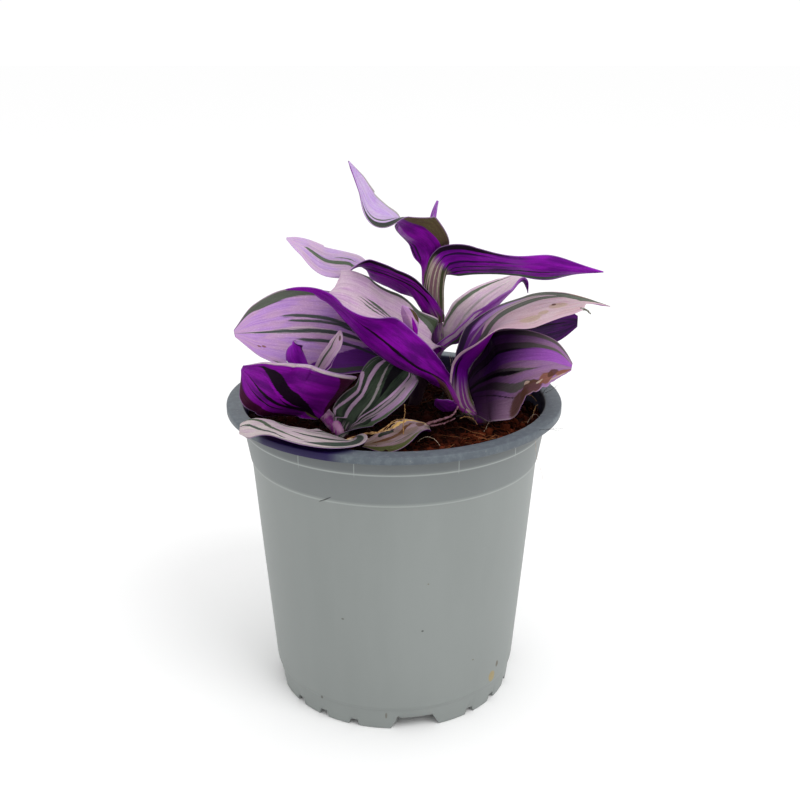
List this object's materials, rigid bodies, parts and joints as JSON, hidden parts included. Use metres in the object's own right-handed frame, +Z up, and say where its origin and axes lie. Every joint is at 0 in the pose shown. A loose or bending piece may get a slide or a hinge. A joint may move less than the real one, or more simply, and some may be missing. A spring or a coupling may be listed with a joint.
{
  "type": "potted house plant",
  "caption": "Tapered round nursery pot with a rim flange and notched foot, filled with coir mix; fleshy leaning stems carry long pointed striped leaves, pink above and violet below.",
  "frame": {"origin": "centre of the pot's underside, where its flat floor disc meets the ground", "axes": "+Z up along the pot's axis, which all its turned surfaces share; -Y towards the side from which the plant is seen; +X to that viewer's right"},
  "size_m": [0.1341, 0.12, 0.1958],
  "materials": {
    "pot": "moulded grey polypropylene, satin, dark slate on the rim and inside",
    "soil": "coarse damp red-brown coir potting mix",
    "stem_centre": "smooth juicy green and purple stem skin with pale sheaths",
    "stem_right": "smooth juicy green and purple stem skin with pale sheaths",
    "stem_left": "smooth juicy green and purple stem skin with pale sheaths",
    "leaf_top_left": "waxy lilac leaf skin with long stripes and a violet back",
    "leaf_top_right": "waxy violet leaf skin with long stripes and a violet back",
    "leaf_top_bud": "waxy violet leaf skin with long stripes and a violet back",
    "leaf_upper_left": "waxy lilac leaf skin with long stripes and a violet back",
    "leaf_mid_left": "waxy pale pink leaf skin with long stripes and a violet back",
    "leaf_mid_right": "waxy pale pink leaf skin with long stripes and a violet back",
    "leaf_bud_centre": "waxy lilac leaf skin with long stripes and a violet back",
    "leaf_far_left": "waxy lilac leaf skin with long stripes and a violet back",
    "leaf_front_left": "waxy violet leaf skin with long stripes and a violet back",
    "leaf_right": "waxy pale pink leaf skin with long stripes and a violet back",
    "leaf_right_back": "waxy violet leaf skin with long stripes and a violet back",
    "leaf_right_low": "waxy lilac leaf skin with long stripes and a violet back",
    "leaf_right_bud": "waxy violet leaf skin with long stripes and a violet back",
    "leaf_left_cup": "waxy violet leaf skin with long stripes and a violet back",
    "leaf_left_bud": "waxy violet leaf skin with long stripes and a violet back",
    "leaf_left_young": "waxy pale pink leaf skin with long stripes and a violet back",
    "leaf_left_striped": "waxy dark green leaf skin with long stripes and a violet back",
    "leaf_left_rim": "waxy pale pink leaf skin with long stripes and a violet back",
    "leaf_front_low": "waxy pale pink leaf skin with long stripes and a violet back"
  },
  "bodies": {
    "root": {"pot": "pot", "soil": "soil", "stem_centre": "stem_centre", "stem_right": "stem_right", "stem_left": "stem_left", "leaf_top_left": "leaf_top_left", "leaf_top_right": "leaf_top_right", "leaf_top_bud": "leaf_top_bud", "leaf_upper_left": "leaf_upper_left", "leaf_mid_left": "leaf_mid_left", "leaf_mid_right": "leaf_mid_right", "leaf_bud_centre": "leaf_bud_centre", "leaf_far_left": "leaf_far_left", "leaf_front_left": "leaf_front_left", "leaf_right": "leaf_right", "leaf_right_back": "leaf_right_back", "leaf_right_low": "leaf_right_low", "leaf_right_bud": "leaf_right_bud", "leaf_left_cup": "leaf_left_cup", "leaf_left_bud": "leaf_left_bud", "leaf_left_young": "leaf_left_young", "leaf_left_striped": "leaf_left_striped", "leaf_left_rim": "leaf_left_rim", "leaf_front_low": "leaf_front_low"}
  },
  "joints": []
}
